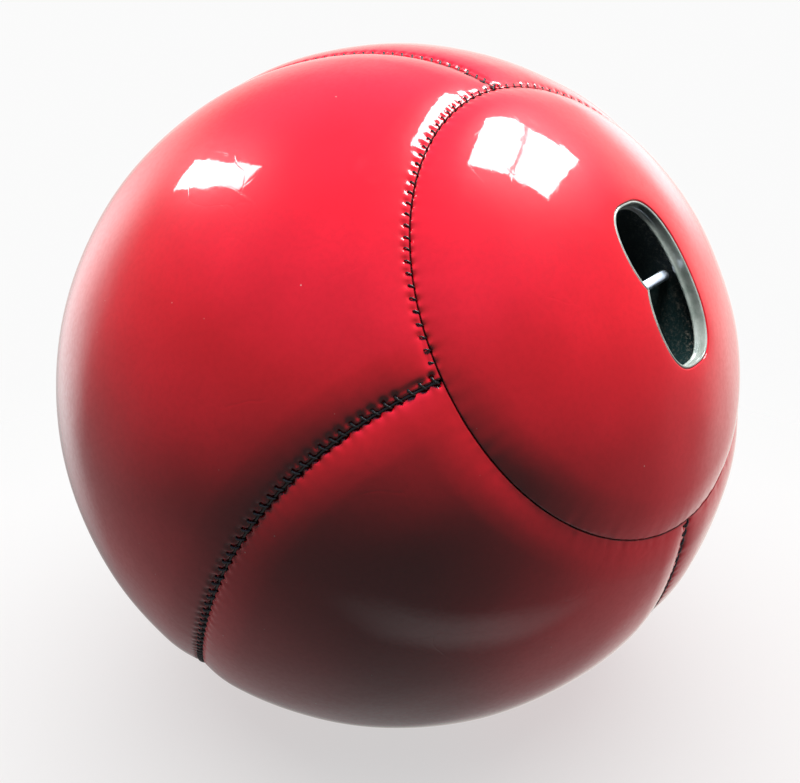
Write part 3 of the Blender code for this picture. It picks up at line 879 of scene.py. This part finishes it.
class Paint:
    """A node material whose parts are added one after another."""

    def __init__(self, name):
        self.material = bpy.data.materials.new(name)
        self.material.use_nodes = True
        self.tree = self.material.node_tree
        self.shader = self.tree.nodes["Principled BSDF"]
        self.place = self.add("ShaderNodeTexCoord").outputs["Object"]

    def add(self, kind, inputs=None, **values):
        """Adds a node with its settings and its inputs, each a number, a colour or another node's output."""
        made = self.tree.nodes.new(kind)
        for key, value in values.items():
            setattr(made, key, value)
        for key, value in (inputs or {}).items():
            self.put(made.inputs[key], value)
        return made

    def join(self, source, target):
        self.tree.links.new(source, target)

    def put(self, target, value):
        """Sets an input to a number or colour, or joins it to an output."""
        if isinstance(value, bpy.types.NodeSocket):
            self.join(value, target)
        else:
            target.default_value = value

    def shade(self, name, value):
        self.put(self.shader.inputs[name], value)

    def mark(self, name):
        return self.add("ShaderNodeAttribute", attribute_name=name).outputs["Fac"]

    def noise(self, size, detail=3.0, roughness=0.5, stretch=None):
        """Noise whose features are about one size, in metres."""
        place = self.place
        if stretch:
            turn, scale = stretch
            mapping = self.add("ShaderNodeMapping", {"Vector": place, "Rotation": turn, "Scale": scale})
            place = mapping.outputs["Vector"]
        inputs = {"Vector": place, "Scale": 1 / size, "Detail": detail, "Roughness": roughness}
        return self.add("ShaderNodeTexNoise", inputs).outputs["Fac"]

    def cells(self, size, feature="F1", bend=0.0):
        """Distances in cells of about one size, in metres, whose outlines may be bent."""
        shift = self.add("ShaderNodeTexNoise", {"Vector": self.place, "Scale": 0.9 / size})
        inputs = {0: shift.outputs["Color"], 1: (bend * size,) * 3, 2: self.place}
        bent = self.add("ShaderNodeVectorMath", inputs, operation="MULTIPLY_ADD")
        inputs = {"Vector": bent.outputs["Vector"], "Scale": 1 / size}
        return self.add("ShaderNodeTexVoronoi", inputs, feature=feature).outputs["Distance"]

    def waves(self, size, axis):
        """Bands of about one width, in metres, across an axis."""
        inputs = {"Vector": self.place, "Scale": 1 / size / 3.2, "Distortion": 1.2, "Detail": 2.0}
        inputs["Detail Scale"] = 1.5
        return self.add("ShaderNodeTexWave", inputs, wave_type="BANDS", bands_direction=axis).outputs["Fac"]

    def sum(self, kind, a, b, clamp=False):
        return self.add("ShaderNodeMath", {0: a, 1: b}, operation=kind, use_clamp=clamp).outputs[0]

    def band(self, value, low, high, out_low=0.0, out_high=1.0):
        """Maps a value smoothly from one range to another, held at both ends."""
        inputs = {"Value": value, "From Min": low, "From Max": high, "To Min": out_low, "To Max": out_high}
        return self.add("ShaderNodeMapRange", inputs, interpolation_type="SMOOTHSTEP").outputs["Result"]

    def blend(self, share, first, second):
        return self.add("ShaderNodeMix", {0: share, 6: first, 7: second}, data_type="RGBA").outputs[2]

    def bump(self, height, distance, after=None):
        inputs = {"Strength": 1.0, "Distance": distance, "Height": height}
        if after is not None:
            inputs["Normal"] = after
        return self.add("ShaderNodeBump", inputs).outputs["Normal"]


def colour(red, green, blue):
    return (red, green, blue, 1.0)


def patent_leather():
    """Red leather under a thick clear finish, with a pale cut edge, fine scratches, painted highlight specks
    and painted shade in the seams.
    """
    paint = Paint("red_patent_leather")
    broad = paint.noise(38 * MM, 2)
    fine = paint.noise(2.2 * MM, 4, 0.6)
    base = paint.blend(paint.band(broad, 0.3, 0.7), colour(0.64, 0.007, 0.018), colour(0.74, 0.009, 0.023))
    mottle = paint.band(fine, 0.35, 0.75)
    base = paint.blend(paint.sum("MULTIPLY", mottle, 0.25), base, colour(0.50, 0.005, 0.013))
    from_seam = paint.mark("from_seam")
    # Painted shade: within about a millimetre of a seam the leather is painted near black, unevenly along it,
    # where the groove lies in shade.
    seam_shade = paint.band(from_seam, 0.1 * MM, 0.9 * MM, 1.0, 0.0)
    uneven = paint.band(paint.noise(3.1 * MM, 3), 0.3, 0.7, 0.75, 1.0)
    base = paint.blend(paint.sum("MULTIPLY", seam_shade, uneven), base, colour(0.020, 0.004, 0.005))
    # Painted highlights: scattered pale pink specks stand in for small glints of light on the gloss.
    speck_highlight = paint.band(paint.cells(9 * MM), 0.025, 0.04, 1.0, 0.0)
    speck_highlight = paint.sum("MULTIPLY", speck_highlight, paint.band(paint.noise(21 * MM, 0), 0.5, 0.62))
    base = paint.blend(paint.sum("MULTIPLY", speck_highlight, 0.6), base, colour(0.75, 0.45, 0.42))
    cut = paint.band(from_seam, -0.6, -0.2, 1.0, 0.0)
    base = paint.blend(cut, base, colour(0.80, 0.50, 0.50))
    paint.shade("Base Color", base)

    scratch_a = paint.noise(1.1 * MM, 1, 0.5, ((0.3, 0.9, 0.2), (1.0, 0.035, 0.035)))
    scratch_b = paint.noise(1.0 * MM, 1, 0.5, ((1.1, 0.2, 0.8), (0.04, 1.0, 0.04)))
    scratches = paint.sum("MAXIMUM", paint.band(scratch_a, 0.70, 0.78), paint.band(scratch_b, 0.70, 0.78))
    paint.shade("Roughness", paint.band(fine, 0.2, 0.8, 0.30, 0.42))
    smear = paint.band(paint.noise(17 * MM, 4, 0.65), 0.45, 0.8, 0.035, 0.075)
    coat_rough = paint.sum("ADD", smear, paint.sum("MULTIPLY", scratches, 0.12))
    coat_rough = paint.sum("ADD", coat_rough, paint.sum("MULTIPLY", cut, 0.5))
    paint.shade("Coat Roughness", coat_rough)
    paint.shade("Coat Weight", paint.sum("SUBTRACT", 1.0, paint.sum("MULTIPLY", cut, 0.9), clamp=True))
    paint.shade("Coat IOR", 1.5)
    paint.shade("Specular IOR Level", 0.15)
    swell = paint.bump(paint.noise(15 * MM, 2, 0.45), 0.11 * MM)
    peel = paint.bump(paint.noise(2.6 * MM, 2, 0.5), 0.018 * MM, swell)
    scored = paint.bump(scratches, -0.006 * MM, peel)
    crease = paint.band(paint.cells(32 * MM, "DISTANCE_TO_EDGE", 0.8), 0.0, 0.014, 1.0, 0.0)
    crease = paint.sum("MULTIPLY", crease, paint.band(paint.noise(34 * MM, 1), 0.50, 0.62))
    creased = paint.bump(crease, -0.012 * MM, scored)
    paint.shade("Normal", creased)
    paint.shade("Coat Normal", creased)
    return paint.material


def sewing_thread():
    """Waxed black cord: twisted strands with a hard shine."""
    paint = Paint("waxed_thread")
    strand = paint.noise(0.25 * MM, 2, 0.5, ((0.5, 0.6, 0.2), (1.0, 0.3, 1.0)))
    tone = paint.blend(paint.band(strand, 0.3, 0.7), colour(0.004, 0.005, 0.005), colour(0.022, 0.025, 0.024))
    paint.shade("Base Color", tone)
    paint.shade("Roughness", paint.band(strand, 0.3, 0.7, 0.18, 0.34))
    paint.shade("Coat Weight", 0.35)
    paint.shade("Coat Roughness", 0.15)
    paint.shade("Normal", paint.bump(strand, 0.08 * MM))
    return paint.material


def gloss_moulding():
    paint = Paint("gloss_moulding")
    flow = paint.noise(6 * MM, 3)
    dust = paint.band(paint.noise(0.5 * MM, 2), 0.62, 0.72)
    tone = paint.blend(paint.band(flow, 0.3, 0.7), colour(0.10, 0.12, 0.108), colour(0.17, 0.19, 0.175))
    tone = paint.blend(paint.sum("MULTIPLY", dust, 0.25), tone, colour(0.30, 0.28, 0.26))
    paint.shade("Base Color", tone)
    paint.shade("Specular IOR Level", 0.7)
    paint.shade("Roughness", paint.band(flow, 0.2, 0.8, 0.10, 0.24))
    paint.shade("Coat Weight", 0.8)
    paint.shade("Coat Roughness", 0.08)
    paint.shade("Normal", paint.bump(paint.noise(3.5 * MM, 2), 0.05 * MM))
    return paint.material


def pocket_moulding():
    paint = Paint("pocket_moulding")
    spark = paint.noise(0.45 * MM, 3, 0.6)
    lint = paint.band(paint.noise(1.3 * MM, 4, 0.7), 0.48, 0.70)
    # Painted shade: the fluff fades out with depth, so the pocket is painted darker, to near black, deeper
    # in; the fluff near the mouth is the moulding's own.
    near_mouth = paint.band(paint.mark("depth"), 7 * MM, 17 * MM, 0.75, 0.15)
    fluff_and_depth_shade = paint.sum("MULTIPLY", lint, near_mouth)
    tone = paint.blend(fluff_and_depth_shade, colour(0.004, 0.011, 0.011), colour(0.16, 0.14, 0.115))
    paint.shade("Base Color", tone)
    paint.shade("Roughness", paint.band(spark, 0.3, 0.7, 0.5, 0.75))
    paint.shade("Normal", paint.bump(spark, 0.12 * MM))
    return paint.material


def bright_steel(name, tone, rough, grain, metallic=1.0):
    """Plated or rolled steel with turning marks and a few dull spots."""
    paint = Paint(name)
    drawn = paint.noise(0.5 * MM, 3, 0.6, ((0.0, 0.0, 0.15), (1.0, 0.12, 1.0)))
    spots = paint.band(paint.noise(1.6 * MM, 3, 0.6), 0.58, 0.70)
    darker = colour(*(0.55 * value for value in tone))
    paint.shade("Base Color", paint.blend(paint.sum("MULTIPLY", spots, 0.5), colour(*tone), darker))
    paint.shade("Metallic", metallic)
    paint.shade("Roughness", paint.band(drawn, 0.3, 0.7, rough, rough + 0.12))
    paint.shade("Normal", paint.bump(drawn, grain))
    return paint.material


def cloth(name, dark, light, thread_size, slub=0.35):
    """Plain weave: two sets of yarns that cross, with thick and thin places."""
    paint = Paint(name)
    warp = paint.waves(thread_size, "X")
    weft = paint.waves(thread_size, "Y")
    weave = paint.sum("MAXIMUM", warp, weft)
    uneven = paint.noise(7 * thread_size, 3, 0.6)
    shade = paint.sum("ADD", paint.sum("MULTIPLY", weave, 1 - slub), paint.sum("MULTIPLY", uneven, slub))
    paint.shade("Base Color", paint.blend(paint.band(shade, 0.2, 0.9), colour(*dark), colour(*light)))
    paint.shade("Roughness", paint.band(uneven, 0.3, 0.7, 0.85, 0.97))
    paint.shade("Sheen Weight", 0.3)
    paint.shade("Normal", paint.bump(weave, 0.3 * thread_size))
    return paint.material


def loose_fill(name, dark, light, size, depth):
    """Packed fibre or grain: lumps inside lumps."""
    paint = Paint(name)
    lumps = paint.noise(9 * size, 5, 0.7)
    grains = paint.cells(size)
    tone = paint.sum("ADD", paint.sum("MULTIPLY", lumps, 0.6), paint.sum("MULTIPLY", grains, 0.5))
    paint.shade("Base Color", paint.blend(paint.band(tone, 0.25, 0.85), colour(*dark), colour(*light)))
    paint.shade("Roughness", paint.band(lumps, 0.3, 0.7, 0.88, 1.0))
    paint.shade("Normal", paint.bump(grains, depth, paint.bump(lumps, 4 * depth)))
    return paint.material


# Stage

CAMERA_AZIMUTH = 44.4
CAMERA_ELEVATION = 20.45
CAMERA_DISTANCE = 3.2 * BALL_RADIUS
CAMERA_LENS = 46.93

# The plain room that the gloss mirrors: dim round the camera, pale behind the ball, cool overhead
ROOM_DIM = (0.28, 0.28, 0.28)
ROOM_PALE = (1.0, 0.95, 0.9)
ROOM_OVERHEAD = (0.3, 0.35, 0.6)
ROOM_PALE_SIDE = 160

# Soft cards: degrees round from the camera, elevation, half width and half height in degrees, brightness
CARDS = (
    (-135, 0, 25, 40, 1.5),
    (30, -60, 40, 10, 0.7),
    (150, 10, 20, 15, 2.0),
)

# Windows: azimuth, elevation and roll in degrees, width and height in metres, how many panes high, brightness
WINDOW_DISTANCE = 1.2
GLAZING_BAR = 0.015
WINDOWS = (
    ("window_behind", 160, 60, -30, 0.5, 0.5, 2, 20),
    ("window_left", -70, 45, 55, 0.5, 0.15, 1, 16),
)


def aim(made, place, target, roll=0.0):
    """Puts a camera or light at a place, facing a target."""
    back = (Vector(place) - Vector(target)).normalized()
    made.location = place
    turn = back.to_track_quat("Z", "Y").to_matrix() @ Matrix.Rotation(roll, 3, "Z")
    made.rotation_euler = turn.to_euler()


def direction(azimuth, elevation):
    """A unit vector; azimuth 0 looks from -Y, as the views do, and 90 from +X, in degrees."""
    azimuth = math.radians(azimuth)
    elevation = math.radians(elevation)
    flat = math.cos(elevation)
    return Vector((math.sin(azimuth) * flat, -math.cos(azimuth) * flat, math.sin(elevation)))


def camera():
    data = bpy.data.cameras.new("camera")
    data.lens = CAMERA_LENS
    data.clip_start = 0.01
    data.shift_x = 0.0019
    data.shift_y = -0.0071
    made = bpy.data.objects.new("camera", data)
    bpy.context.scene.collection.objects.link(made)
    aim(made, direction(CAMERA_AZIMUTH, CAMERA_ELEVATION) * CAMERA_DISTANCE, (0, 0, 0))
    bpy.context.scene.camera = made


def softbox(name, azimuth, elevation, distance, size, power):
    """A rectangular lamp that faces the ball."""
    data = bpy.data.lights.new(name, "AREA")
    data.shape = "RECTANGLE"
    data.size, data.size_y = size
    data.energy = power
    made = bpy.data.objects.new(name, data)
    bpy.context.scene.collection.objects.link(made)
    aim(made, direction(azimuth, elevation) * distance, (0, 0, 0))
    made.visible_camera = False
    return made


def floor():
    """A plain pale floor, partly pale of itself to soften the shadow, that fades into the background."""
    paint = Paint("floor_paint")
    cloudy = paint.noise(300 * MM, 3)
    paint.shade("Base Color", paint.blend(cloudy, colour(0.23, 0.23, 0.228), colour(0.25, 0.25, 0.248)))
    paint.shade("Emission Color", colour(1.0, 1.0, 1.0))
    paint.shade("Emission Strength", 0.60)
    paint.material.cycles.emission_sampling = "NONE"
    paint.shade("Roughness", 0.9)
    paint.shade("Normal", paint.bump(paint.noise(4 * MM, 3), 0.05 * MM))
    away = paint.add("ShaderNodeVectorMath", {0: paint.place}, operation="LENGTH")
    paint.shade("Alpha", paint.band(away.outputs["Value"], 0.22, 0.75, 1.0, 0.0))
    mesh = bpy.data.meshes.new("floor")
    half = 1.5
    corners = [(-half, -half), (half, -half), (half, half), (-half, half)]
    mesh.from_pydata([(x, y, -REST_HEIGHT) for x, y in corners], [], [(0, 1, 2, 3)])
    mesh.materials.append(paint.material)
    made = bpy.data.objects.new("floor", mesh)
    bpy.context.scene.collection.objects.link(made)
    made.visible_glossy = False
    made.visible_diffuse = False
    made.visible_shadow = False
    return made


def background():
    """Pale where the camera looks past the ball, and almost dark as a light."""
    world = bpy.data.worlds.new("studio")
    world.use_nodes = True
    bpy.context.scene.world = world
    tree = world.node_tree
    tree.nodes.clear()
    dim = tree.nodes.new("ShaderNodeBackground")
    dim.inputs["Color"].default_value = colour(0.012, 0.012, 0.012)
    pale = tree.nodes.new("ShaderNodeBackground")
    pale.inputs["Color"].default_value = colour(0.96, 0.96, 0.96)
    path = tree.nodes.new("ShaderNodeLightPath")
    mixed = tree.nodes.new("ShaderNodeMixShader")
    out = tree.nodes.new("ShaderNodeOutputWorld")
    tree.links.new(path.outputs["Is Camera Ray"], mixed.inputs["Fac"])
    tree.links.new(dim.outputs["Background"], mixed.inputs[1])
    tree.links.new(pale.outputs["Background"], mixed.inputs[2])
    tree.links.new(mixed.outputs["Shader"], out.inputs["Surface"])
    bpy.context.scene.view_settings.view_transform = "Standard"


def glowing(paint, tone, strength, sampling):
    """Turns a material into plain light of its own."""
    light = paint.add("ShaderNodeEmission", {"Color": tone, "Strength": strength})
    paint.join(light.outputs["Emission"], paint.tree.nodes["Material Output"].inputs["Surface"])
    paint.tree.nodes.remove(paint.shader)
    paint.material.cycles.emission_sampling = sampling


def show_in_gloss(name, bm, materials):
    """Puts a mesh round the ball that only mirroring surfaces show."""
    mesh = bpy.data.meshes.new(name)
    bm.to_mesh(mesh)
    bm.free()
    for material in materials:
        mesh.materials.append(material)
    made = bpy.data.objects.new(name, mesh)
    bpy.context.scene.collection.objects.link(made)
    made.visible_camera = False
    made.visible_diffuse = False
    made.visible_shadow = False
    made.visible_transmission = False
    return made


def windows():
    """Plain windows of equal panes, one above another with a glazing bar between."""
    for name, azimuth, elevation, roll, width, height, panes, brightness in WINDOWS:
        glow = Paint("window_glow")
        glowing(glow, colour(1.0, 1.0, 1.0), brightness, "FRONT_BACK")
        bm = bmesh.new()
        pane_height = (height - GLAZING_BAR * (panes - 1)) / panes
        for row in range(panes):
            low = row * (pane_height + GLAZING_BAR) - height / 2
            high = low + pane_height
            corners = ((-width / 2, low), (width / 2, low), (width / 2, high), (-width / 2, high))
            bm.faces.new([bm.verts.new((x, y, 0.0)) for x, y in corners])
        made = show_in_gloss(name, bm, [glow.material])
        aim(made, direction(azimuth, elevation) * WINDOW_DISTANCE, (0, 0, 0), math.radians(roll))


def reflected_room():
    """The room that the gloss shows, with its soft cards. It lights nothing itself."""
    room = Paint("room_glow")
    unit = room.add("ShaderNodeVectorMath", {0: room.place}, operation="NORMALIZE").outputs["Vector"]
    split = room.add("ShaderNodeSeparateXYZ", {"Vector": unit})
    inputs = {0: unit, 1: direction(CAMERA_AZIMUTH + ROOM_PALE_SIDE, 0)}
    facing = room.add("ShaderNodeVectorMath", inputs, operation="DOT_PRODUCT")
    seen = room.blend(room.band(facing.outputs["Value"], 0.5, 0.9), colour(*ROOM_DIM), colour(*ROOM_PALE))
    seen = room.blend(room.band(split.outputs["Z"], 0.3, 0.9), seen, colour(*ROOM_OVERHEAD))
    for turn, elevation, half_width, half_height, brightness in CARDS:
        centre = direction(CAMERA_AZIMUTH + turn, elevation)
        halves = (math.sin(math.radians(half)) for half in (half_width, half_height))
        inputs = {
            "Vector": unit,
            "Location": centre,
            "Rotation": centre.to_track_quat("Z", "Y").to_euler(),
            "Scale": (*halves, 1.0),
        }
        place = room.add("ShaderNodeMapping", inputs, vector_type="TEXTURE").outputs["Vector"]
        fade = room.add("ShaderNodeTexGradient", {"Vector": place}, gradient_type="SPHERICAL")
        card = room.band(fade.outputs["Fac"], 0.0, 0.8)
        seen = room.blend(card, seen, colour(brightness, brightness, brightness))
    glowing(room, seen, 1.0, "NONE")
    bm = bmesh.new()
    bmesh.ops.create_uvsphere(bm, u_segments=48, v_segments=24, radius=6.0)
    show_in_gloss("reflected_room", bm, [room.material])


def linked(name, pieces, state):
    """A set of pieces that a lamp lights alone, or all but lights."""
    receivers = bpy.data.collections.new(name)
    for made in pieces:
        receivers.objects.link(made)
    for entry in receivers.collection_objects:
        entry.light_linking.link_state = state
    return receivers


def lamps(hold_pieces, floor_piece):
    """Soft lamps that light without being mirrored: for the ball, for its hold and for the floor."""
    not_floor = linked("all_but_floor", [floor_piece], "EXCLUDE")
    only_hold = linked("only_hold", hold_pieces, "INCLUDE")
    only_floor = linked("only_floor", [floor_piece], "INCLUDE")
    for name, azimuth, elevation, distance, size, power, receivers in (
        ("light_overhead", 0, 90, 1.8, (0.5, 0.5), 68, not_floor),
        ("light_from_window", 150, 60, 2.0, (0.5, 0.5), 16, not_floor),
        ("light_off_floor_left", -60, -15, 2.0, (1.2, 0.8), 18, not_floor),
        ("light_off_floor_behind", 145, -10, 2.0, (0.9, 0.8), 34, not_floor),
        ("light_into_hold", 40, 70, 0.8, (0.30, 0.30), 20, only_hold),
        ("light_over_floor", 0, 90, 1.6, (2.4, 2.4), 74, only_floor),
    ):
        lamp = softbox(name, azimuth, elevation, distance, size, power)
        lamp.visible_glossy = False
        lamp.light_linking.receiver_collection = receivers


camera()
leather = patent_leather()
thread = sewing_thread()
for panel_index in range(SIDE_PANELS):
    side_panel(panel_index, leather)
    side_stitches(panel_index, thread)
hold_disc(leather)
rear_disc(leather)
ring_stitches("stitches_hold_ring", False, thread, "hold_ring_seam_thread")
ring_stitches("stitches_rear_ring", True, thread, "rear_ring_seam_thread")
hold_pieces = [collar(gloss_moulding()), pocket(pocket_moulding())]
hold_pieces += bar_and_nuts(
    bright_steel("bright_steel", (0.66, 0.76, 0.90), 0.30, 0.004 * MM, metallic=0.35),
    bright_steel("spring_steel", (0.30, 0.30, 0.33), 0.28, 0.02 * MM),
)
fillings(
    cloth("inner_canvas", (0.30, 0.25, 0.18), (0.62, 0.55, 0.43), 0.9 * MM),
    loose_fill("textile_wadding", (0.12, 0.12, 0.13), (0.62, 0.58, 0.53), 1.8 * MM, 0.5 * MM),
    cloth("ballast_canvas", (0.13, 0.15, 0.11), (0.36, 0.38, 0.30), 1.1 * MM),
    loose_fill("ballast_sand", (0.22, 0.16, 0.09), (0.62, 0.50, 0.33), 0.6 * MM, 0.25 * MM),
)
background()
reflected_room()
windows()
lamps(hold_pieces, floor())
